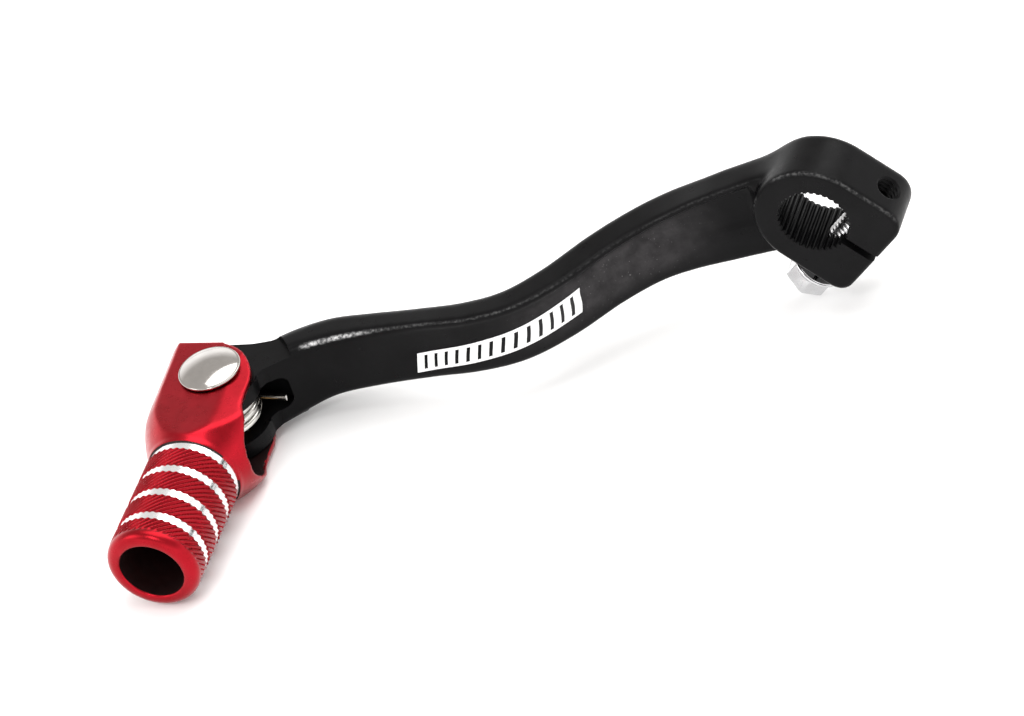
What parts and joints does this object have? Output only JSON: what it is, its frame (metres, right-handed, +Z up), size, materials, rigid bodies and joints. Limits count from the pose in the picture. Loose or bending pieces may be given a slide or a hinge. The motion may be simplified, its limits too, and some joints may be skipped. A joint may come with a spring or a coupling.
{
  "type": "gear shift lever",
  "caption": "Motorcycle gear shift lever: a forged arm with a splined pinch clamp at one end and a sprung folding toe peg at the other.",
  "frame": {"origin": "on the axis of the splined bore, inside the clamp, 5.4 mm from its outer face", "axes": "+Y along the bore, away from the engine and along the toe peg; +X forward along the arm, from the bore towards the tip; +Z up, along the folding tip's pin"},
  "size_m": [0.144, 0.0932, 0.0352],
  "materials": {
    "lever_arm": "satin black anodised forging",
    "folding_tip": "red anodised, turned and knurled, with bare grooves",
    "pivot_pin": "polished stainless",
    "pivot_screw": "plain stainless",
    "pivot_bush": "bronze bearing sleeve",
    "return_spring": "bright drawn wire",
    "pinch_bolt": "bright zinc plate",
    "lock_washer": "black oxide"
  },
  "bodies": {
    "arm": {"lever_arm": "lever_arm", "pinch_bolt": "pinch_bolt", "lock_washer": "lock_washer", "pivot_bush": "pivot_bush", "return_spring": "return_spring"},
    "tip": {"folding_tip": "folding_tip", "pivot_pin": "pivot_pin", "pivot_screw": "pivot_screw"}
  },
  "joints": [
    {"name": "tip_fold", "type": "hinge", "parent": "arm", "child": "tip", "pos_m": [0.1141, 0.041, -0.0136], "axis": [0, 0, 1], "range_deg": [0, 60], "stiffness_Nm_per_rad": 0.15, "springref_deg": -28.65}
  ]
}
